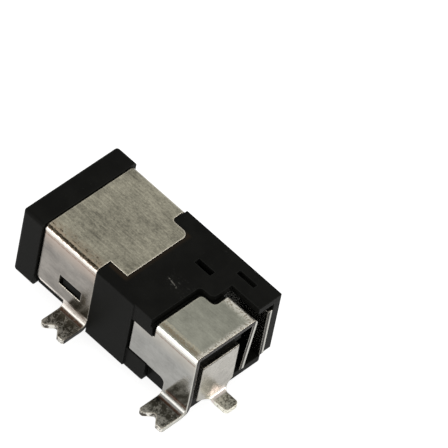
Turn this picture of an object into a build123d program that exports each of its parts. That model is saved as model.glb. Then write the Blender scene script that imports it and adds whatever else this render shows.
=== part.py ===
from build123d import *
import os

# A small surface-mount power jack for a 3.5 mm barrel plug. Every size is in millimetres.
# X runs across the jack: its centre line is x = 0, and the side with the window is +X, the near side.
# Depths run along +Y from the mouth. Heights run along +Z from the board.
# The pieces are drawn with the mouth at y = 0, then moved so that the origin lies on the board,
# midway between the two locating pegs.

# Plug bore. The body's width and height follow from it and from the walls and springs round it
bore_radius = 1.8
bore_near_wall = 0.8
bore_floor = 0.9
bore_roof = 0.6
spring_room = 1.88
far_wall = 0.53
bore_wall_length = 3.5
bore_draft = 0.03
bore_rear_wall = 1.85
bore_chamfer = 0.1
slot_from_axis = 1.0

# Moulded housing
body_width = bore_near_wall + 2 * bore_radius + spring_room + far_wall
body_height = bore_floor + 2 * bore_radius + bore_roof
body_length = 12.83
flange_depth = 1.5
flange_proud = 0.11
flange_foot = 0.08
flange_round = 0.22
edge_round = 0.07

# Sheet metal and the room it is given in the moulding
sheet = 0.3
seat_gap = 0.03
bend_inner = 0.06
land_bend = 0.35

# Forked solder lands
land_width = 1.8
land_reach = 1.6
far_land_reach = 2.0
land_lobe = 0.1 * land_width
land_notch_round = 0.083 * land_width
land_notch_depth = 0.55
land_notch_width = 0.556 * land_width
land_notch_shift = 0.044 * land_width

# Front shell, a folded cover over the front half
shell_inset = 0.07
shell_top_proud = 0.03
shell_front = 1.56
shell_side_end = 5.5
shell_wall_foot = 0.79
shell_corner_round = 0.4
shell_land_end = 5.46
tongue_end = 6.8
tongue_near_margin = 1.09
tongue_far_margin = 1.13
tongue_round = 0.4
tongue_inner_round = 0.25
window_front = 3.12
window_length = 1.64
window_foot = 1.74
window_height = 0.7
catch_recess = 0.1
catch_play = 0.06
catch_front_play = 0.22
skirt_height = 0.58

# Middle band of the housing, where the moulding is flush with the flange
band_front = 5.56
band_end_from_rear = 4.4

# Sleeve contact, a folded cover over the rear
saddle_inset = 0.15
saddle_drop = 0.25
saddle_front_from_rear = 2.76
saddle_far_front_from_rear = 1.79
saddle_step_from_near = 3.52
saddle_leg_from_bore = 0.38
saddle_past_rear = 0.3
saddle_step_round = 0.28
saddle_wall_foot = 1.42
saddle_wall_round = 0.35
saddle_land_front_from_rear = 1.55
saddle_margin = 0.32
saddle_wall_gap = 0.1
rib_foot_below_top = 1.2
rib_length = 1.2
rib_slant = 0.35
rib_inset = 0.05
ledge_length = 1.45
ledge_inset = 0.1
ledge_round = 0.2
leg_lean = 0.42
leg_foot = 1.0

# Sleeve spring, the tongue of the leg that presses on the plug
spring_half_height = 0.7
spring_press = 0.25
spring_peak_from_rear = 4.35
spring_tip_from_rear = 5.45
spring_root_from_rear = 2.35
spring_flare = 0.4
spring_bend = 0.5

# Spring pocket along the far side
floor_thickness = 0.45
roof_thickness = 0.45
pocket_inner_from_bore = 0.2
pocket_front_wall = 1.01
leg_slot_side = 0.1
far_wall_foot = 0.05
floor_edge_from_far = 1.01
rear_floor_from_far = 0.61
floor_corner_round = 0.3
far_wall_round = 0.7
side_rib_out = 0.2
side_rib_height = 1.2

# Switch contact, which stands in the slot along the far wall
switch_front_from_rear = 3.27
switch_foot = 0.5
switch_below_top = 0.55
switch_step_from_rear = 0.65
switch_rear_below_top = 0.95
switch_touch_from_rear = 4.95
switch_touch_gap = 0.03
switch_tip_from_rear = 5.95

# Pin terminal on the rear face
plate_from_near = 0.9
plate_width = 2.68
plate_below_top = 1.52
plate_shoulder = 0.8
plate_shoulder_drop = 0.5
tab_width = 0.95
tab_shift = 0.12
tab_past_rear = 1.55
tab_bend = 0.35
tab_round = 0.25
notch_depth = 0.6
notch_height = 0.75
notch_play = 0.05
rear_recess_depth = 1.0

# Centre pin
pin_radius = 0.65
pin_tip_past_wall = 0.5
pin_tip_round = 0.35
rivet_radius = 0.4

# Locating pegs
front_peg_depth = 1.68
peg_pitch = 7.4
front_peg_radius = 0.95
rear_peg_radius = 0.8
peg_height = 0.85
peg_chamfer = 0.25

# Core holes left by the mould, each as distance from the far side, width, depth, length
top_hole_width = 0.4
top_hole_front_from_rear = 4.5
top_hole_length = 1.2
slot_hole_from_far = 0.64
slot_hole_width = 0.32
slot_hole_front_from_rear = 2.55
slot_hole_length = 1.3
foot_hole_front_from_rear = 5.25
foot_hole_length = 1.2
near_hole_from_near = 0.95
near_hole_front_from_rear = 2.8
near_hole_length = 1.25
near_hole_height = 1.3

band_end = body_length - band_end_from_rear
saddle_front = body_length - saddle_front_from_rear
saddle_far_front = body_length - saddle_far_front_from_rear
saddle_rear = body_length + saddle_past_rear
saddle_land_front = body_length - saddle_land_front_from_rear
spring_peak = body_length - spring_peak_from_rear
spring_tip = body_length - spring_tip_from_rear
spring_root = body_length - spring_root_from_rear
switch_front = body_length - switch_front_from_rear
switch_rear = body_length
switch_step = body_length - switch_step_from_rear
switch_touch = body_length - switch_touch_from_rear
switch_tip = body_length - switch_tip_from_rear
tab_end = body_length + tab_past_rear
top_hole_front = body_length - top_hole_front_from_rear
slot_hole_front = body_length - slot_hole_front_from_rear
foot_hole_front = body_length - foot_hole_front_from_rear
near_hole_front = body_length - near_hole_front_from_rear

rib_foot = body_height - rib_foot_below_top
switch_top = body_height - switch_below_top
switch_rear_top = body_height - switch_rear_below_top
plate_top = body_height - plate_below_top
pin_tip = bore_wall_length + pin_tip_past_wall

half_sheet = sheet / 2
fold_radius = bend_inner + half_sheet
land_fold_radius = land_bend + half_sheet
tab_fold_radius = tab_bend + half_sheet

near = body_width / 2
far = -body_width / 2
bore_x = near - bore_near_wall - bore_radius
bore_far = bore_x - bore_radius
bore_height = bore_floor + bore_radius
bore_depth = body_length - bore_rear_wall
origin_depth = front_peg_depth + peg_pitch / 2

shell_near = near - shell_inset
shell_far = far + shell_inset
shell_top = body_height + shell_top_proud
shell_seat = shell_inset + sheet + seat_gap
shell_top_seat = sheet + seat_gap - shell_top_proud

saddle_near = near - saddle_inset
saddle_top = body_height - saddle_drop
saddle_seat = saddle_inset + sheet + seat_gap
saddle_bed = saddle_top - sheet - seat_gap
saddle_far = bore_far - saddle_leg_from_bore
saddle_step = near - saddle_step_from_near

pocket_inner = bore_far - pocket_inner_from_bore
pocket_outer = far + far_wall
pocket_roof = body_height - roof_thickness
switch_outer = pocket_outer + seat_gap
switch_inner = switch_outer + sheet
leg_inner_foot = saddle_far + leg_lean + sheet
spring_tip_x = bore_far + spring_press - spring_flare
rear_recess_side = near - plate_from_near - plate_width + seat_gap

tab_near = bore_x + tab_shift + tab_width / 2
tab_far = bore_x + tab_shift - tab_width / 2

beyond = 1.0
same = 0.01


def block(x0, x1, y0, y1, z0, z1):
    """A box between two corners."""
    centre = Pos((x0 + x1) / 2, (y0 + y1) / 2, (z0 + z1) / 2)
    return centre * Box(x1 - x0, y1 - y0, z1 - z0)


def across(outline, x0, x1):
    """Extrude an outline drawn as (depth, height) from x0 to x1."""
    plane = Plane(origin=(x0, 0, 0), x_dir=(0, 1, 0), z_dir=(1, 0, 0))
    return extrude(plane * outline, x1 - x0)


def along(outline, y0, y1):
    """Extrude an outline drawn as (x, height) from depth y0 to depth y1."""
    plane = Plane(origin=(0, y1, 0), x_dir=(1, 0, 0), z_dir=(0, -1, 0))
    return extrude(plane * outline, y1 - y0)


def upright(outline, z0, z1):
    """Extrude a plan outline from height z0 to height z1."""
    return extrude(Pos(0, 0, z0) * outline, z1 - z0)


def folded(points, radii):
    """The section of a folded sheet: its middle line runs through the points, with a radius at each fold."""
    return trace(FilletPolyline(*points, radius=radii), sheet)


def peg(radius, depth):
    """A locating peg under the housing, with a chamfered tip."""
    pin = Pos(0, depth, -peg_height / 2) * Cylinder(radius, peg_height)
    return chamfer(pin.edges().sort_by(Axis.Z)[0], peg_chamfer)


def flange():
    """The thick collar round the mouth, a little proud of the body and rounded at the front."""
    top = body_height + flange_proud
    collar = block(far - flange_proud, near + flange_proud, 0, flange_depth, flange_foot, top)
    long_edges = collar.edges().filter_by(Axis.Y)
    front_edges = collar.faces().sort_by(Axis.Y)[0].edges()
    return fillet(long_edges + front_edges, flange_round)


def front_channel():
    """The room for the front shell, cut round the core of the body behind the flange."""
    end = band_front
    near_side = block(near - shell_seat, near + beyond, flange_depth, end, -beyond, body_height + beyond)
    far_side = block(far - beyond, far + shell_seat, flange_depth, end, -beyond, body_height + beyond)
    skirt_end = shell_land_end - land_width - seat_gap
    skirt = block(far - beyond, far + shell_seat, flange_depth, skirt_end, -beyond, skirt_height)
    top = block(far - beyond, near + beyond, flange_depth, end, body_height - shell_top_seat, body_height + beyond)
    return near_side + (far_side - skirt) + top


def tongue_recess():
    """The shallow recess in the top for the shell's tongue."""
    x0 = far + tongue_far_margin - seat_gap
    x1 = near - tongue_near_margin + seat_gap
    recess = block(x0, x1, band_front - beyond, tongue_end + seat_gap, body_height - shell_top_seat, body_height + beyond)
    rear_far = recess.edges().filter_by(Axis.Z).sort_by_distance((x0, tongue_end, body_height))[0]
    return fillet(rear_far, tongue_round)


def saddle_bed_cut():
    """The stepped recess at the rear of the top, in which the sleeve contact lies."""
    step_x = saddle_step - saddle_margin / 2
    far_x = saddle_far - saddle_margin
    front = saddle_front - saddle_margin
    far_front = saddle_far_front - saddle_margin
    plan = Polyline(
        (near + beyond, front),
        (step_x, front),
        (step_x, far_front),
        (far_x, far_front),
        (far_x, body_length + beyond),
        (near + beyond, body_length + beyond),
        close=True,
    )
    recess = upright(make_face(plan), saddle_bed, body_height + beyond)
    corners = recess.edges().filter_by(Axis.Z).filter_by(lambda e: abs(e.center().X - step_x) < same)
    return fillet(corners, saddle_step_round)


def saddle_side_cut():
    """The room for the near wall of the sleeve contact, under a rib and above a ledge that stay."""
    x0 = near - saddle_seat
    side = block(x0, near + beyond, band_end, body_length + beyond, -beyond, body_height + beyond)
    rib_outline = Polyline(
        (band_end - beyond, rib_foot),
        (band_end + rib_length + rib_slant, rib_foot),
        (band_end + rib_length, body_height + beyond),
        (band_end - beyond, body_height + beyond),
        close=True,
    )
    rib = across(make_face(rib_outline), x0 - beyond, near - rib_inset)
    ledge_end = band_end + ledge_length
    ledge = block(x0, near - ledge_inset, band_end, ledge_end, 0, saddle_wall_foot - seat_gap)
    lower_rear = ledge.edges().filter_by(Axis.X).sort_by_distance((near, ledge_end, 0))[0]
    return side - rib - fillet(lower_rear, ledge_round)


def spring_pocket():
    """The long pocket for both springs, open at the rear and towards the bore."""
    wide = block(pocket_outer, pocket_inner, band_front + seat_gap, body_length + beyond, floor_thickness, pocket_roof)
    narrow = block(
        far + pocket_front_wall, pocket_inner, bore_wall_length, body_length, floor_thickness, pocket_roof - seat_gap
    )
    half = (bore_radius**2 - slot_from_axis**2) ** 0.5
    slot = block(
        pocket_inner - seat_gap, bore_x - slot_from_axis, bore_wall_length, bore_depth,
        bore_height - half, bore_height + half,
    )
    leg_x = leg_inner_foot + leg_slot_side
    leg_slot = block(
        saddle_far - seat_gap, leg_x, saddle_far_front - leg_slot_side, body_length + beyond,
        floor_thickness, body_height + beyond,
    )
    recess = block(
        leg_x - seat_gap, rear_recess_side, body_length - rear_recess_depth, body_length + beyond,
        floor_thickness, plate_top,
    )
    return wide + narrow + slot + leg_slot + recess


def far_foot_cut():
    """What is cut from the far wall's foot so that the switch contact can pass out under it."""
    mouth_rear = switch_front + land_width + seat_gap
    mouth = block(
        far - beyond, far + floor_edge_from_far, switch_front - seat_gap, mouth_rear, -beyond, side_rib_height
    )
    slot = block(pocket_outer, far + rear_floor_from_far, switch_front, body_length + beyond, -beyond, pocket_roof)
    rounded = Polyline(
        (mouth_rear - seat_gap, far_wall_foot),
        (body_length, far_wall_foot),
        (body_length, body_height),
        (body_length + beyond, body_height),
        (body_length + beyond, -beyond),
        (mouth_rear - seat_gap, -beyond),
        close=True,
    )
    outline = make_face(rounded)
    corner = outline.vertices().sort_by_distance((body_length, far_wall_foot))[0]
    foot = across(fillet(corner, far_wall_round), far - beyond, pocket_outer + seat_gap)
    return mouth + slot + foot


def core_holes():
    """Small holes through roof and floor, left by the mould's cores."""
    roof = (pocket_roof - beyond, body_height + beyond)
    floor = (-beyond, floor_thickness + beyond)
    inner = (pocket_inner - top_hole_width, pocket_inner)
    holes = []
    for bottom, top in (roof, floor):
        holes.append(block(*inner, top_hole_front, top_hole_front + top_hole_length, bottom, top))
    x0 = far + slot_hole_from_far
    slot_x = (x0, x0 + slot_hole_width)
    holes.append(block(*slot_x, slot_hole_front, slot_hole_front + slot_hole_length, *roof))
    holes.append(block(*slot_x, foot_hole_front, foot_hole_front + foot_hole_length, *floor))
    x1 = near - near_hole_from_near
    y1 = near_hole_front + near_hole_length
    near_hole = block(x1 - top_hole_width, x1, near_hole_front, y1, -beyond, near_hole_height)
    holes.append(near_hole)
    return holes


def catch():
    """The catch on the near side of the core that stands in the shell's window."""
    return block(
        near - shell_seat - seat_gap, shell_near - catch_recess,
        window_front + catch_front_play, window_front + window_length - catch_play,
        window_foot + catch_play, window_foot + window_height - catch_play,
    )


def housing():
    """The black moulding: flange, body, spring pocket, catch and pegs in one piece."""
    body = block(far, near, flange_depth, body_length, 0, body_height)
    top_edges = body.edges().filter_by(Axis.Y).group_by(Axis.Z)[-1]
    rear_edges = body.faces().sort_by(Axis.Y)[-1].edges().sort_by(Axis.Z)[1:]
    body = fillet(top_edges + rear_edges, edge_round)
    side_rib = block(far - side_rib_out, far + seat_gap, band_front, switch_front - seat_gap, 0, side_rib_height)
    body = body + side_rib + flange()
    body = body - front_channel() - tongue_recess()
    beside_tongue = (far + tongue_far_margin - seat_gap, band_front, body_height)
    body = fillet(body.edges().filter_by(Axis.Z).sort_by_distance(beside_tongue)[0], tongue_inner_round)
    body = body - saddle_bed_cut() - saddle_side_cut()
    body = body + catch()
    bore_plane = Plane(origin=(bore_x, 0, bore_height), x_dir=(1, 0, 0), z_dir=(0, 1, 0))
    bore = extrude(bore_plane * Circle(bore_radius), bore_wall_length)
    bore_profile = Polyline(
        (0, bore_wall_length),
        (bore_radius, bore_wall_length),
        (bore_radius - bore_draft, bore_depth),
        (0, bore_depth),
        close=True,
    )
    inner_bore = Pos(bore_x, 0, bore_height) * revolve(make_face(bore_profile), Axis.Y)
    mouth = Pos(bore_x, bore_chamfer / 2, bore_height) * Rot(90, 0, 0) * Cone(
        bore_radius, bore_radius + bore_chamfer, bore_chamfer
    )
    pin_hole = extrude(bore_plane * Circle(pin_radius + seat_gap), body_length + beyond)
    body = body - bore - inner_bore - mouth - pin_hole - spring_pocket() - far_foot_cut()
    for hole in core_holes():
        body = body - hole
    notch = block(
        tab_far - notch_play, tab_near + notch_play, body_length - notch_depth, body_length + beyond, -beyond, notch_height
    )
    body = body - notch
    floor_corner = (far + rear_floor_from_far, body_length, floor_thickness / 2)
    body = fillet(body.edges().filter_by(Axis.Z).sort_by_distance(floor_corner)[0], floor_corner_round)
    return body + peg(front_peg_radius, front_peg_depth) + peg(rear_peg_radius, front_peg_depth + peg_pitch)


def fork(wall_x, reach_x, land_front):
    """The plan outline of a forked land between the wall and the reach, as a fish tail with round lobes."""
    out = 1 if reach_x > wall_x else -1
    root_x = wall_x - out * beyond
    land_end = land_front + land_width
    middle = land_front + land_width / 2 - land_notch_shift
    notch_x = reach_x - out * land_notch_depth
    notch_half = land_notch_width / 2
    outline = Polyline(
        (root_x, land_front),
        (reach_x, land_front),
        (reach_x, middle - notch_half),
        (notch_x, middle),
        (reach_x, middle + notch_half),
        (reach_x, land_end),
        (root_x, land_end),
        close=True,
    )
    face = make_face(outline)
    inner = face.vertices().filter_by(lambda v: abs(v.X - notch_x) < same)
    face = fillet(inner, land_notch_round)
    tips = face.vertices().filter_by(lambda v: abs(v.X - reach_x) < same)
    return fillet(tips, land_lobe)


def land_waste(wall_x, reach_x, land_front):
    """What is stamped away outside a wall so that only its forked land is left."""
    out = 1 if reach_x > wall_x else -1
    x0, x1 = sorted((wall_x, reach_x + out * beyond))
    zone_top = sheet + land_bend
    zone = block(x0, x1, land_front - beyond, land_front + land_width + beyond, -beyond, zone_top)
    return zone - upright(fork(wall_x, reach_x, land_front), -2 * beyond, zone_top + beyond)


def front_shell():
    """The front cover: a sheet folded over the core, with a window, a tongue and two lands."""
    near_tip = near + land_reach
    far_tip = far - land_reach
    points = [
        (near_tip, half_sheet),
        (shell_near - half_sheet, half_sheet),
        (shell_near - half_sheet, shell_top - half_sheet),
        (shell_far + half_sheet, shell_top - half_sheet),
        (shell_far + half_sheet, half_sheet),
        (far_tip, half_sheet),
    ]
    radii = [land_fold_radius, fold_radius, fold_radius, land_fold_radius]
    blank = along(folded(points, radii), shell_front, tongue_end)
    land_front = shell_land_end - land_width
    outline = Polyline(
        (shell_front, shell_wall_foot),
        (land_front, shell_wall_foot),
        (land_front, -beyond),
        (shell_land_end, -beyond),
        (shell_land_end, shell_wall_foot),
        (shell_side_end, shell_wall_foot),
        (shell_side_end, body_height + beyond),
        (shell_front, body_height + beyond),
        close=True,
    )
    side = make_face(outline)
    lower_front = side.vertices().sort_by_distance((shell_front, shell_wall_foot))[0]
    side = fillet(lower_front, shell_corner_round)
    walls = blank & across(side, far_tip - beyond, near_tip + beyond)
    x0 = far + tongue_far_margin
    x1 = near - tongue_near_margin
    tongue = block(x0, x1, shell_side_end - sheet, tongue_end, shell_top - sheet - seat_gap, body_height + beyond)
    corner = tongue.edges().filter_by(Axis.Z).sort_by_distance((x0, tongue_end, shell_top))[0]
    shell = walls + (blank & fillet(corner, tongue_round))
    inner_corner = shell.edges().filter_by(Axis.Z).sort_by_distance((x0, shell_side_end, shell_top))[0]
    shell = fillet(inner_corner, tongue_inner_round)
    shell = shell - land_waste(shell_near, near_tip, land_front) - land_waste(shell_far, far_tip, land_front)
    window = block(
        shell_near - beyond,
        near + beyond,
        window_front,
        window_front + window_length,
        window_foot,
        window_foot + window_height,
    )
    return shell - window


def sleeve_contact():
    """The rear cover: over the near wall and the top, then down beside the bore as a leg with a spring."""
    near_tip = near + land_reach
    points = [
        (near_tip, half_sheet),
        (saddle_near - half_sheet, half_sheet),
        (saddle_near - half_sheet, saddle_top - half_sheet),
        (saddle_far + half_sheet, saddle_top - half_sheet),
        (saddle_far + leg_lean + half_sheet, leg_foot),
    ]
    wall_front = band_end + saddle_wall_gap
    blank = along(folded(points, [land_fold_radius, fold_radius, fold_radius]), wall_front, saddle_rear)
    fold_x = saddle_near - sheet - bend_inner
    land_end = saddle_land_front + land_width
    rib_line = rib_foot - seat_gap
    outline = Polyline(
        (wall_front, saddle_wall_foot),
        (saddle_land_front, saddle_wall_foot),
        (saddle_land_front, -beyond),
        (land_end, -beyond),
        (saddle_rear, saddle_wall_foot),
        (saddle_rear, body_height + beyond),
        (saddle_front, body_height + beyond),
        (saddle_front, rib_line),
        (wall_front, rib_line),
        close=True,
    )
    side = make_face(outline)
    inner_corner = side.vertices().sort_by_distance((saddle_land_front, saddle_wall_foot))[0]
    side = fillet(inner_corner, saddle_wall_round)
    wall = blank & across(side, fold_x, near_tip + beyond)
    plan_line = Polyline(
        (fold_x, saddle_front),
        (saddle_step, saddle_front),
        (saddle_step, saddle_far_front),
        (saddle_far - beyond, saddle_far_front),
        (saddle_far - beyond, saddle_rear),
        (fold_x, saddle_rear),
        close=True,
    )
    plan = make_face(plan_line)
    steps = plan.vertices().filter_by(lambda v: abs(v.X - saddle_step) < same)
    top = blank & upright(fillet(steps, saddle_step_round), 0, body_height + beyond)
    contact = wall + top - land_waste(saddle_near, near_tip, saddle_land_front)
    return contact + sleeve_spring()


def sleeve_spring():
    """The tongue that runs forward from the leg and bows into the bore."""
    lean = leg_lean * (saddle_top - bore_height) / (saddle_top - leg_foot)
    root_x = saddle_far + lean + half_sheet
    peak_x = bore_far + spring_press - half_sheet
    points = [
        (root_x, saddle_far_front + sheet),
        (root_x, spring_root),
        (peak_x, spring_peak),
        (spring_tip_x - half_sheet, spring_tip),
    ]
    strip = folded(points, [spring_bend, spring_bend])
    return upright(strip, bore_height - spring_half_height, bore_height + spring_half_height)


def switch_contact():
    """The sheet in the slot by the far wall, with its land and a finger that rests on the sleeve spring."""
    far_tip = far - far_land_reach
    wall_x = switch_outer + half_sheet
    points = [(wall_x, switch_rear_top), (wall_x, half_sheet), (far_tip, half_sheet)]
    land_end = switch_front + land_width
    land = along(folded(points, [land_fold_radius]), switch_front, land_end)
    land = land - land_waste(switch_outer, far_tip, switch_front)
    outline = Polyline(
        (switch_front, sheet + land_bend),
        (switch_front, switch_top),
        (switch_step, switch_top),
        (switch_step, switch_rear_top),
        (switch_rear, switch_rear_top),
        (switch_rear, switch_foot),
        (land_end - seat_gap, switch_foot),
        (land_end - seat_gap, sheet + land_bend),
        close=True,
    )
    plate = land + across(make_face(outline), switch_outer, switch_inner)
    touch_x = spring_tip_x - sheet - switch_touch_gap - half_sheet
    finger_points = [
        (wall_x, switch_front + sheet),
        (wall_x, switch_front - sheet),
        (touch_x, switch_touch),
        (touch_x, switch_tip),
    ]
    finger = folded(finger_points, [spring_bend, spring_bend])
    return plate + upright(finger, bore_height - spring_half_height, bore_height + spring_half_height)


def pin_terminal():
    """The plate on the rear face, narrowed to a tab that turns out along the board."""
    middle = body_length + half_sheet
    section = folded([(tab_end, half_sheet), (middle, half_sheet), (middle, plate_top)], [tab_fold_radius])
    x1 = near - plate_from_near
    x0 = x1 - plate_width
    blank = across(section, x0, x1)
    shoulder = plate_shoulder - plate_shoulder_drop
    outline = Polyline(
        (x0, plate_top + beyond),
        (x0, plate_shoulder),
        (tab_far, shoulder),
        (tab_far, -beyond),
        (tab_near, -beyond),
        (tab_near, shoulder),
        (x1, plate_shoulder),
        (x1, plate_top + beyond),
        close=True,
    )
    plate = blank & along(make_face(outline), body_length - beyond, tab_end + beyond)
    corners = plate.edges().filter_by(Axis.Z).group_by(Axis.Y)[-1]
    plate = fillet(corners, tab_round)
    axis = Plane(origin=(bore_x, body_length - beyond, bore_height), x_dir=(1, 0, 0), z_dir=(0, 1, 0))
    return plate - extrude(axis * Circle(rivet_radius), sheet + 2 * beyond)


def centre_pin():
    """The turned pin on the bore's axis, with a round tip and a spigot riveted into the terminal."""
    profile = Polyline(
        (0, pin_tip),
        (pin_radius, pin_tip),
        (pin_radius, body_length),
        (rivet_radius, body_length),
        (rivet_radius, body_length + sheet),
        (0, body_length + sheet),
        close=True,
    )
    face = make_face(profile)
    tip = face.vertices().sort_by_distance((pin_radius, pin_tip))[0]
    turned = revolve(fillet(tip, pin_tip_round), Axis.Y)
    return Pos(bore_x, 0, bore_height) * turned


def export(name, piece):
    """Move a piece from the mouth's frame to the part's own frame and write it."""
    export_step(Pos(0, -origin_depth, 0) * piece, f"parts/{name}.step")


os.makedirs("parts", exist_ok=True)
export("housing", housing())
export("front_shell", front_shell())
export("sleeve_contact", sleeve_contact())
export("switch_contact", switch_contact())
export("pin_terminal", pin_terminal())
export("centre_pin", centre_pin())
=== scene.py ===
import bpy
from mathutils import Matrix, Vector


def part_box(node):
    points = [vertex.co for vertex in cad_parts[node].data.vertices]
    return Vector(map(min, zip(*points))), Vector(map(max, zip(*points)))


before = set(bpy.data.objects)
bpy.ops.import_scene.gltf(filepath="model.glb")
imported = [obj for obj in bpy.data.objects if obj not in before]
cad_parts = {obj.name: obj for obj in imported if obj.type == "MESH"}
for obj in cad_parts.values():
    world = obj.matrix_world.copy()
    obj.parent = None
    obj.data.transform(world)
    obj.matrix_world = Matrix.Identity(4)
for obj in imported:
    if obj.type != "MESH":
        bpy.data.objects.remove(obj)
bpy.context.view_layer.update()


# Housing
# One black injection moulding: mouth collar, body, spring pocket, catch and locating pegs.
# It is a heat-resistant plastic straight from the mould, satin, with fine pitting and handling scuffs.

class Reading:
    """A value, colour or vector on its way through a finish. Arithmetic on it adds Math nodes."""

    def __init__(self, finish, socket):
        self.finish = finish
        self.socket = socket

    def math(self, operation, *values):
        """The result of one Math node."""
        return self.finish.node("ShaderNodeMath", {"operation": operation}, dict(enumerate(values)))

    def __add__(self, other):
        return self.math("ADD", self, other)

    def __radd__(self, other):
        return self.math("ADD", other, self)

    def __sub__(self, other):
        return self.math("SUBTRACT", self, other)

    def __rsub__(self, other):
        return self.math("SUBTRACT", other, self)

    def __mul__(self, other):
        return self.math("MULTIPLY", self, other)

    def __rmul__(self, other):
        return self.math("MULTIPLY", other, self)

    def __abs__(self):
        return self.math("ABSOLUTE", self)

    def most(self, other):
        """The larger of the two."""
        return self.math("MAXIMUM", self, other)

    def rise(self, start, end):
        """0 below start, 1 above end, and smooth between them."""
        settings = {"interpolation_type": "SMOOTHSTEP", "clamp": True}
        values = {"Value": self, "From Min": start, "From Max": end, "To Min": 0.0, "To Max": 1.0}
        return self.finish.node("ShaderNodeMapRange", settings, values)

    def fall(self, start, end):
        """1 below start, 0 above end, and smooth between them."""
        return 1.0 - self.rise(start, end)

    def band(self, low, high, soft):
        """1 between low and high, fading to 0 over soft on either side."""
        return self.rise(low - soft, low) * self.fall(high, high + soft)

    def other(self, name):
        """Another output of the node that this one comes from."""
        return Reading(self.finish, self.socket.node.outputs[name])


class Finish:
    """How a surface or the room looks, built up in nodes on its material or world."""

    def __init__(self, owner):
        owner.use_nodes = True
        self.owner = owner
        self.tree = owner.node_tree
        self.tree.nodes.clear()

    def node(self, kind, settings, values, output=0):
        """Add a node: its settings first, then the values and links of its sockets."""
        made = self.tree.nodes.new(kind)
        for key, value in settings.items():
            if key == "stops":
                for stop, (position, colour) in zip(made.color_ramp.elements, value):
                    stop.position = position
                    stop.color = (*colour, 1.0)
            else:
                setattr(made, key, value)
        for key, value in values.items():
            named = [s for s in made.inputs if s.identifier == key or s.name == key]
            socket = made.inputs[key] if isinstance(key, int) else named[0]
            if isinstance(value, Reading):
                self.tree.links.new(value.socket, socket)
            elif isinstance(value, tuple) and socket.type == "RGBA":
                socket.default_value = (*value, 1.0)
            else:
                socket.default_value = value
        return Reading(self, made.outputs[output]) if len(made.outputs) else None

    def vector(self, operation, values, output="Vector"):
        """The result of one Vector Math node."""
        return self.node("ShaderNodeVectorMath", {"operation": operation}, values, output)

    def split(self, vector, *axes):
        """The parts of a vector along the named axes."""
        parts = self.node("ShaderNodeSeparateXYZ", {}, {"Vector": vector})
        return [parts.other(axis) for axis in axes]

    def mix(self, under, over, share):
        """One colour laid over another by a share."""
        values = {"Factor_Float": share, "A_Color": under, "B_Color": over}
        colour_output = 2
        return self.node("ShaderNodeMix", {"data_type": "RGBA"}, values, colour_output)


class JackFinish(Finish):
    """The finish of one kind of surface on the jack, with lengths in millimetres."""

    def __init__(self, name):
        super().__init__(bpy.data.materials.new(name))
        metres = self.node("ShaderNodeTexCoord", {}, {}, "Object")
        self.place = self.vector("SCALE", {"Vector": metres, "Scale": 1000.0})
        self.x, self.y, self.z = self.split(self.place, "X", "Y", "Z")
        self.facing = self.node("ShaderNodeNewGeometry", {}, {}, "True Normal")
        self.face_y, self.face_z = self.split(self.facing, "Y", "Z")

    def noise(self, stretch, detail, roughness=0.55, seed=0.0):
        """Noise whose grains are 1 / stretch millimetres long each way."""
        place = self.vector("MULTIPLY_ADD", {0: self.place, 1: stretch, 2: (seed, seed, seed)})
        values = {"Vector": place, "Scale": 1.0, "Detail": detail, "Roughness": roughness}
        return self.node("ShaderNodeTexNoise", {"noise_dimensions": "3D"}, values)

    def rounded(self, radius):
        """The normal with the edges rounded over a radius."""
        return self.node("ShaderNodeBevel", {"samples": 6}, {"Radius": radius / 1000.0}, "Normal")

    def rim(self, radius):
        """1 along the edges: where the rounded normal turns away from the face's own."""
        alike = self.vector("DOT_PRODUCT", {0: self.rounded(radius), 1: self.facing}, "Value")
        return alike.fall(0.86, 0.985)

    def surface(self, colour, roughness, metallic, height, depth, edge, specular=0.5):
        """Close the finish: the shader, with bump from a height and its edges rounded."""
        lift = {"Strength": 1.0, "Distance": depth / 1000.0, "Height": height, "Normal": self.rounded(edge)}
        values = {
            "Base Color": colour,
            "Roughness": roughness,
            "Metallic": metallic,
            "Normal": self.node("ShaderNodeBump", {}, lift, "Normal"),
            "Specular IOR Level": specular,
        }
        shader = self.node("ShaderNodeBsdfPrincipled", {}, values, "BSDF")
        self.node("ShaderNodeOutputMaterial", {}, {"Surface": shader})
        return self.owner


def dress(name, material):
    """Give a node of the CAD model its finish on every slot."""
    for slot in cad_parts[name].material_slots:
        slot.material = material


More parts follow.
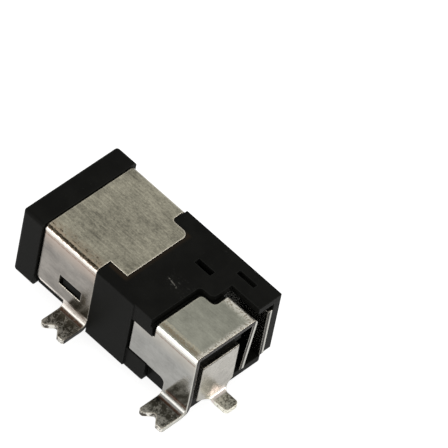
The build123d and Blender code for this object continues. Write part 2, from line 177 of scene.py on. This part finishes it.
def moulding():
    """Black plastic: a shade lighter where it is scuffed, with fine pits, one hairline scratch and a
    painted grey highlight along the edges.
    """
    deep_black = (0.0066, 0.0066, 0.0058)
    soft_black = (0.0096, 0.0096, 0.0084)
    warm_black = (0.024, 0.016, 0.01)
    scuff_grey = (0.026, 0.025, 0.0235)
    edge_highlight_grey = (0.03, 0.03, 0.0285)
    speck_grey = (0.12, 0.118, 0.11)
    scratch_grey = (0.22, 0.21, 0.19)
    f = JackFinish("black_moulding")
    top = f.z.rise(4.9, 5.0)
    clouds = f.noise((0.9, 0.9, 0.9), 4.0)
    grain = f.noise((22.0, 22.0, 22.0), 2.0, 0.6, 3.0)
    scuffs = f.noise((7.0, 2.2, 6.0), 5.0, 0.7, 11.0).rise(0.62, 0.74)
    specks = f.noise((10.0, 10.0, 10.0), 2.0, 0.5, 21.0).rise(0.72, 0.78)
    wander = f.noise((2.5, 2.5, 2.5), 2.0, 0.5, 31.0) * 0.2
    gaps = f.noise((4.0, 4.0, 4.0), 3.0, 0.6, 37.0).rise(0.38, 0.52)
    aside = abs(0.968 * f.x - 0.25 * f.y + 0.03 + wander)
    scratch = aside.fall(0.02, 0.055) * f.y.band(2.86, 3.6, 0.1) * top * gaps
    nicks = f.noise((10.0, 5.0, 10.0), 3.0, 0.7, 43.0).rise(0.58, 0.68)
    rubbed = f.x.band(0.2, 1.0, 0.3) * f.y.band(2.9, 4.2, 0.4) * top * nicks
    beside_shell = f.y.fall(1.42, 1.75) * f.y.rise(0.2, 0.3) * f.x.band(-2.2, 2.5, 0.2) * top
    colour = f.mix(deep_black, soft_black, clouds.rise(0.35, 0.7))
    colour = f.mix(colour, scuff_grey, scuffs * 0.6)
    colour = f.mix(colour, speck_grey, specks * 0.3 + rubbed * 0.3)
    colour = f.mix(colour, scratch_grey, scratch * 0.7)
    colour = f.mix(colour, warm_black, beside_shell)
    # Painted highlight: a thin grey line painted along the edges.
    colour = f.mix(colour, edge_highlight_grey, f.rim(0.08) * 0.75)
    roughness = 0.36 + 0.2 * clouds + 0.1 * scuffs
    height = grain * 0.5 + clouds * 0.4 + specks * 0.3 + scratch * 0.5
    return f.surface(colour, roughness, 0.0, height, depth=0.012, edge=0.07, specular=0.05)


dress("housing", moulding())


# Front shell
# A cover stamped from 0.3 mm copper alloy strip, plated before stamping and folded down over the body.
# The faces show the rolled grain, the fold has a painted highlight and a painted dark reflection, stains
# hang beside it, and the wall has painted reflections.

class Sheet(JackFinish):
    """The finish of a piece stamped from the plated strip."""

    def __init__(self, name, seed):
        super().__init__(name)
        self.seed = seed
        self.grit = self.noise((11.0, 8.0, 11.0), 3.0, 0.7, seed + 13.0)
        self.ragged = self.noise((5.0, 3.6, 5.0), 4.0, 0.7, seed + 15.0)
        self.behind = self.face_y.rise(0.8, 0.95)
        self.torn = 0.0

    def fold(self, x, z):
        """Lay the fold along the jack. The turn is 0 above it and 90 beside it, with ragged edges."""
        self.fold_x = x
        self.fold_z = z
        self.top = self.z.rise(z + 0.2, z + 0.28)
        degrees = 57.3
        angle = self.z.math("ARCTAN2", self.x - x, self.z - z) * degrees
        self.turn = angle + (self.grit + self.ragged - 1.0) * 28.0

    def at_board(self):
        """1 in the lands, which lie on the board."""
        return self.z.fall(0.34, 0.42)

    def rolled(self, tone, clouds, lines, specks):
        """Rolled strip: cloudy patches, fine lines along the jack and specks, each by its strength."""
        patches = self.noise((0.55, 0.4, 0.55), 4.0, 0.62, self.seed)
        blotches = self.noise((1.9, 1.1, 1.9), 4.0, 0.65, self.seed + 3.0)
        drawn = self.noise((8.5, 0.8, 8.5), 3.0, 0.7, self.seed + 5.0)
        light = 0.5 + (patches + blotches - 1.0) * clouds
        light = light + (drawn - 0.5) * lines + (self.grit - 0.5) * specks
        darkest = tuple(0.3 * part for part in tone)
        palest = tuple(1.7 * part for part in tone)
        return self.mix(darkest, palest, light)

    def painted_fold_highlight(self, colour, low, high):
        """A painted highlight along the fold, and the brown crack in the plating below it."""
        highlight_white = (0.93, 0.91, 0.85)
        crack_brown = (0.25, 0.15, 0.11)
        # Painted highlight: near-white painted over the turn of the fold where it catches the light.
        bright = self.turn.band(low, high, 7.0) * (0.55 + 0.8 * self.ragged)
        colour = self.mix(colour, highlight_white, bright)
        crack = self.z.band(self.fold_z - 0.2, self.fold_z - 0.14, 0.03)
        crack = crack * self.x.rise(self.fold_x, self.fold_x + 0.1) * self.grit.rise(0.35, 0.55)
        return self.mix(colour, crack_brown, crack * 0.8)

    def forked(self, colour):
        """The solder lands: bronze by the bend, dark in the middle, partly their own tone and partly a
        painted dark reflection, with painted glints as bright specks that grow towards the tips.
        """
        dull_and_dark_reflection = (0.1, 0.092, 0.07)
        glint_white = (1.0, 0.97, 0.9)
        bronze = (0.11, 0.062, 0.04)
        cut_brown = (0.07, 0.06, 0.05)
        outward = abs(self.x)
        land = self.at_board() * outward.rise(3.6, 3.7)
        # Painted glints: bright specks painted over the lands, more and brighter towards the tips.
        spots = self.noise((16.0, 16.0, 16.0), 3.0, 0.7, self.seed + 17.0)
        broad = self.noise((3.0, 3.0, 3.0), 3.0, 0.6, self.seed + 19.0)
        tips = outward.rise(3.9, 4.9)
        painted_highlights = (spots * 0.5 + broad * 0.5 + tips * 0.08).rise(0.51, 0.6)
        speckled = self.mix(dull_and_dark_reflection, glint_white, painted_highlights * (0.6 + 0.3 * tips))
        colour = self.mix(colour, speckled, land * 0.95)
        bend = outward.band(3.49, 3.6, 0.05) * self.z.fall(0.36, 0.42)
        colour = self.mix(colour, bronze, bend * (0.5 + 0.5 * self.grit.rise(0.35, 0.5)))
        cut = land * self.face_z.fall(0.2, 0.5) * outward.rise(3.75, 3.85)
        return self.mix(colour, cut_brown, cut * broad.fall(0.42, 0.58) * 0.9)

    def sheared(self, colour, lip):
        """The rear cut edge: bright in the lip that the punch cut, and dark where the strip tore."""
        tear_dark = (0.008, 0.006, 0.0045)
        tear_brown = (0.075, 0.062, 0.05)
        lip_grey = (0.56, 0.55, 0.5)
        streaks = self.noise((9.0, 1.0, 1.2), 3.0, 0.6, self.seed + 23.0)
        tear = self.mix(tear_dark, tear_brown, streaks.rise(0.42, 0.66))
        self.torn = self.behind * (1.0 - lip)
        colour = self.mix(colour, tear, self.torn)
        return self.mix(colour, lip_grey, self.behind * lip)

    def close(self, colour, roughness, line_depth):
        """Close the finish: a painted highlight along the edges, bump from the grain, and no metal gloss
        where it is torn.
        """
        edge_highlight_cream = (1.0, 0.92, 0.78)
        drawn = self.noise((20.0, 1.0, 20.0), 3.0, 0.6, self.seed + 25.0)
        height = drawn * line_depth + self.grit * 0.4 + self.ragged * 0.3
        upward = self.face_z.rise(0.4, 0.8)
        # Painted highlight: a cream line painted along the edges, strongest where they face up.
        painted_highlights = self.rim(0.17) * (0.2 + 0.8 * upward) * (1.0 - self.behind) * (0.45 + 0.6 * self.ragged)
        colour = self.mix(colour, edge_highlight_cream, painted_highlights)
        metallic = 1.0 - 0.95 * self.torn
        return self.surface(colour, roughness, metallic, height, depth=0.006, edge=0.08, specular=0.1)


def shell_plating():
    """Warm grey plating, stained brown along the top of the fold, with a painted highlight and a painted
    dark reflection on the fold and painted reflections on the wall.
    """
    side_grey = (0.278, 0.258, 0.235)
    reflection_pale = (0.56, 0.46, 0.39)
    top_grey = (0.4, 0.377, 0.3)
    dirt_brown = (0.09, 0.065, 0.04)
    tan = (0.46, 0.38, 0.28)
    stain_brown = (0.06, 0.042, 0.026)
    pale_tan = (0.6, 0.48, 0.36)
    dark_reflection_brown = (0.045, 0.034, 0.022)
    reflection_cream = (1.0, 0.94, 0.88)
    f = Sheet("shell_plating", 2.0)
    f.fold(2.975, 4.77)
    wall = f.x.rise(2.9, 3.1)
    side = f.rolled(side_grey, 0.6, 0.25, 0.3)
    # Painted reflection: the wall painted paler towards the fold.
    side = f.mix(side, reflection_pale, f.z.rise(3.6, 4.7) * wall * 0.75)
    dirt = f.y.band(-0.55, -0.2, 0.2) * f.z.band(1.5, 2.3, 0.35) * f.ragged.rise(0.42, 0.6)
    side = f.mix(side, dirt_brown, dirt * wall * 0.7)
    colour = f.mix(side, f.rolled(top_grey, 0.8, 0.9, 1.1), f.top)
    past = f.fold_x - f.x
    zone = past.fall(0.1, 0.65) * f.top
    colour = f.mix(colour, tan, zone * f.ragged.rise(0.35, 0.55) * 0.7)
    stains = (f.grit * 0.5 + f.ragged * 0.5).rise(0.52, 0.59)
    colour = f.mix(colour, stain_brown, zone * stains * 0.9)
    pale = f.turn.band(8.0, 20.0, 6.0) * f.ragged.rise(0.4, 0.55)
    colour = f.mix(colour, pale_tan, pale * 0.7)
    # Painted reflection: a dark brown band painted over the fold above the highlight, where the fold
    # mirrors the dark room.
    painted_dark_reflection = f.turn.band(26.0, 50.0, 8.0) * (0.6 + 0.4 * f.grit.rise(0.35, 0.5))
    colour = f.mix(colour, dark_reflection_brown, painted_dark_reflection)
    # Painted highlight along the fold, with the lands after it.
    colour = f.forked(f.painted_fold_highlight(colour, 63.0, 84.0))
    # Painted reflection: a streaky cream patch painted on the low wall above the land's bend.
    streaks = f.noise((9.0, 0.8, 9.0), 3.0, 0.6, 47.0).rise(0.3, 0.5)
    painted_low_reflection = f.z.band(0.5, 0.85, 0.12) * f.x.rise(3.2, 3.3) * f.x.fall(3.45, 3.55) * streaks
    colour = f.mix(colour, reflection_cream, painted_low_reflection * 0.95)
    roughness = 0.1 + 0.08 * f.ragged + f.top * 0.1 + zone * 0.1 + f.at_board() * 0.15 + painted_low_reflection * 0.4
    lip = f.x.rise(3.24, 3.28) * f.z.rise(0.3, 0.45)
    return f.close(f.sheared(colour, lip), roughness, 0.8)


dress("front_shell", shell_plating())


# Sleeve contact
# The same strip folded over the rear: a near wall, a top plate, and a leg down beside the bore.
# It is greyer and smoother, with a tan tide mark beside the fold and brown sheared edges at the rear; the
# fold has a painted highlight, and the wall a painted reflection that pales it towards the fold.

def sleeve_plating():
    """Pale grey plating with a tan line beside the fold and sandy specks over the far fold, a painted
    highlight on the fold and a wall painted paler towards it as a painted reflection.
    """
    side_grey = (0.376, 0.371, 0.352)
    reflection_pale = (0.6, 0.55, 0.48)
    top_grey = (0.395, 0.395, 0.335)
    tide_tan = (0.62, 0.57, 0.45)
    fold_brown = (0.3, 0.24, 0.16)
    sand_brown = (0.42, 0.36, 0.28)
    sand_white = (1.0, 0.96, 0.88)
    f = Sheet("sleeve_plating", 31.0)
    f.fold(2.895, 4.49)
    side = f.rolled(side_grey, 0.4, 0.2, 0.2)
    # Painted reflection: the wall painted paler towards the fold.
    side = f.mix(side, reflection_pale, f.z.rise(3.2, 4.4) * f.x.rise(2.8, 3.0) * 0.6)
    colour = f.mix(side, f.rolled(top_grey, 0.55, 0.3, 0.3), f.top)
    past = f.fold_x - f.x + (f.ragged - 0.5) * 0.2
    tide = past.band(0.06, 0.26, 0.07) * f.top
    colour = f.mix(colour, tide_tan, tide * (0.3 + 0.6 * f.grit.rise(0.4, 0.58)))
    crown = f.turn.band(-12.0, 22.0, 9.0) * f.grit.rise(0.36, 0.52)
    colour = f.mix(colour, fold_brown, crown * 0.85)
    far_fold = f.x.fall(-1.0, -0.55) * f.x.rise(-1.32, -1.26) * f.top
    hem = (f.y + 0.3 * f.ragged).rise(7.5, 7.85) * f.top
    sand = f.mix(sand_brown, sand_white, f.grit.rise(0.4, 0.54))
    colour = f.mix(colour, sand, far_fold.most(hem) * 0.85)
    # Painted highlight along the fold, with the lands after it.
    colour = f.forked(f.painted_fold_highlight(colour, 42.0, 84.0))
    wall_lip = f.x.rise(3.16, 3.2)
    leg_lip = (f.x + 1.375 - 0.109 * (4.85 - f.z)).fall(0.12, 0.17)
    colour = f.sheared(colour, wall_lip.most(leg_lip))
    roughness = 0.07 + 0.06 * f.ragged + f.top * 0.11 + far_fold * 0.1 + f.at_board() * 0.15
    return f.close(colour, roughness, 0.35)


dress("sleeve_contact", sleeve_plating())


# Switch contact
# A strip on edge in the slot by the far wall, with a land at its foot and a finger on the spring.
# It is stamped from the same strip, and has the sleeve contact's plating.

def switch_plating():
    """Pale grey plating, drawn along the strip."""
    strip_grey = (0.4, 0.395, 0.36)
    f = Sheet("switch_plating", 57.0)
    colour = f.forked(f.rolled(strip_grey, 0.5, 0.4, 0.3))
    colour = f.sheared(colour, f.x.fall(-2.74, -2.69))
    roughness = 0.2 + 0.12 * f.ragged
    return f.close(colour, roughness, 0.5)


dress("switch_contact", switch_plating())


# Pin terminal
# The plate on the rear face, which holds the pin's rivet and turns out at the board as a solder tab.
# It is the same strip, bright on the plate, and speckled on the tab where the plating is thin.

def terminal_plating():
    """Bright plating on the plate, speckled on the tab, with a painted pink highlight in the bend between
    them and painted shade at the top of the plate.
    """
    plate_grey = (0.475, 0.455, 0.415)
    thin_grey = (0.22, 0.205, 0.155)
    thin_white = (1.0, 0.98, 0.86)
    pink_highlight = (0.95, 0.84, 0.78)
    shade_brown = (0.05, 0.042, 0.03)
    f = Sheet("terminal_plating", 83.0)
    colour = f.rolled(plate_grey, 0.4, 0.3, 0.3)
    tab = f.y.rise(7.98, 8.12) * f.z.fall(0.36, 0.5)
    spots = f.noise((7.0, 7.0, 7.0), 3.0, 0.7, 91.0) + 0.12 * (f.x - 0.9)
    thin = f.mix(thin_grey, thin_white, spots.rise(0.38, 0.56))
    colour = f.mix(colour, thin, tab * 0.95)
    # Painted highlight: pale pink painted into the bend at the tab's root.
    bend = (f.z - 0.75 * f.x.rise(0.7, 1.3)).fall(0.45, 0.75)
    painted_bend_highlight = bend * f.y.fall(7.98, 8.08) * f.x.band(0.45, 1.42, 0.1)
    colour = f.mix(colour, pink_highlight, painted_bend_highlight * 0.7)
    # Painted shade: the top of the plate painted dark brown under the overhanging top plate.
    painted_top_shade = f.z.rise(3.42, 3.52) * f.ragged.rise(0.3, 0.5)
    colour = f.mix(colour, shade_brown, painted_top_shade * 0.9)
    roughness = 0.2 + 0.12 * f.ragged + tab * 0.1
    return f.close(colour, roughness, 0.4)


dress("pin_terminal", terminal_plating())


# Centre pin
# A turned brass pin on the axis of the bore, nickel plated, riveted into the terminal at the rear.
# The lathe leaves fine rings round it.

def turned_pin():
    """Plated brass with rings left by the lathe. The rivet's end is as grey as the terminal."""
    pale_brass = (0.6, 0.56, 0.48)
    dark_brass = (0.48, 0.43, 0.34)
    rivet_grey = (0.475, 0.455, 0.415)
    f = JackFinish("turned_pin")
    rings = f.noise((0.6, 26.0, 0.6), 3.0, 0.6, 4.0)
    clouds = f.noise((1.2, 1.2, 1.2), 3.0, 0.5, 8.0)
    colour = f.mix(pale_brass, dark_brass, clouds.rise(0.4, 0.65))
    colour = f.mix(colour, rivet_grey, f.y.rise(7.3, 7.4))
    roughness = 0.2 + 0.15 * rings
    return f.surface(colour, roughness, 1.0, rings, depth=0.004, edge=0.03)


dress("centre_pin", turned_pin())


# Studio
# A white table in an even grey room, with two soft boxes: at the window's side, and low at the far rear.
# The camera looks down from high and far off, past the near rear corner.

def table():
    """The white table, which stays white to the camera and in reflections but takes a shadow."""
    bpy.ops.mesh.primitive_plane_add(size=4.0, location=(0, 0, 0))
    plane = bpy.context.object
    plane.name = "table_top"
    peg_clearance = 0.00002
    plane.data.transform(Matrix.Translation((0, 0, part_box("housing")[0][2] - peg_clearance)))
    glow_to_camera = 0.85
    glow_in_metal = 0.66
    f = Finish(bpy.data.materials.new("white_table"))
    camera_rays = f.node("ShaderNodeLightPath", {}, {}, "Is Camera Ray")
    mirrored = camera_rays.other("Is Glossy Ray").most(camera_rays.other("Is Transmission Ray"))
    seen = (camera_rays * glow_to_camera).most(mirrored * glow_in_metal)
    white = f.mix((0.0, 0.0, 0.0), (1.0, 1.0, 1.0), seen)
    shaded = f.node("ShaderNodeBsdfDiffuse", {}, {"Color": (0.5, 0.5, 0.5)}, "BSDF")
    glow = f.node("ShaderNodeEmission", {}, {"Color": white, "Strength": 1.0}, "Emission")
    both = f.node("ShaderNodeAddShader", {}, {0: shaded, 1: glow})
    f.node("ShaderNodeOutputMaterial", {}, {"Surface": both})
    # The glow is only seen, so it isn't sampled as a lamp.
    f.owner.cycles.emission_sampling = "NONE"
    plane.data.materials.append(f.owner)


def room():
    """The room round the table: white to the camera, and to the jack a grey that is warmer overhead."""
    walls = (0.0, (0.6, 0.6, 0.6))
    ceiling = (0.75, (0.6, 0.6, 0.58))
    f = Finish(bpy.data.worlds.new("studio_room"))
    way = f.node("ShaderNodeTexCoord", {}, {}, "Generated")
    height = f.split(way, "Z")[0]
    grey = f.node("ShaderNodeValToRGB", {"stops": (walls, ceiling)}, {"Fac": height}, "Color")
    camera_rays = f.node("ShaderNodeLightPath", {}, {}, "Is Camera Ray")
    colour = f.mix(grey, (1.0, 1.0, 1.0), camera_rays)
    light = f.node("ShaderNodeBackground", {}, {"Color": colour}, "Background")
    f.node("ShaderNodeOutputWorld", {}, {"Surface": light})
    bpy.context.scene.world = f.owner


def soft_box(name, direction, distance, width, height, power):
    """A soft box that faces the jack."""
    light = bpy.data.lights.new(name, "AREA")
    light.shape = "RECTANGLE"
    light.size = width
    light.size_y = height
    light.energy = power
    lamp = bpy.data.objects.new(name, light)
    away = Vector(direction).normalized()
    lamp.location = away * distance
    lamp.rotation_euler = away.to_track_quat("Z", "Y").to_euler()
    bpy.context.collection.objects.link(lamp)


def camera():
    """The fitted camera: its place, its right, up and back directions, and its focal length in pixels."""
    place = Vector((218.243, 165.7236, 331.7953)) / 1000.0
    right = (-0.7068447, 0.6946528, 0.133522)
    up = (-0.4793701, -0.6092088, 0.631719)
    back = (0.5201681, 0.3825207, 0.7636118)
    focal_pixels = 8000.0
    photo_width = 448.0
    lens = bpy.data.cameras.new("camera")
    lens.sensor_width = 36.0
    lens.lens = focal_pixels / photo_width * lens.sensor_width
    stand = bpy.data.objects.new("camera", lens)
    turn = Matrix((right, up, back)).transposed().to_4x4()
    stand.matrix_world = Matrix.Translation(place) @ turn
    bpy.context.collection.objects.link(stand)
    bpy.context.scene.camera = stand


table()
room()
soft_box("window_side_box", (0.9, -0.33, 0.29), distance=0.6, width=0.28, height=0.35, power=0.67)
soft_box("far_side_box", (-0.52, 0.7, 0.22), distance=0.6, width=0.5, height=0.15, power=0.75)
camera()
bpy.context.scene.view_settings.view_transform = "Standard"
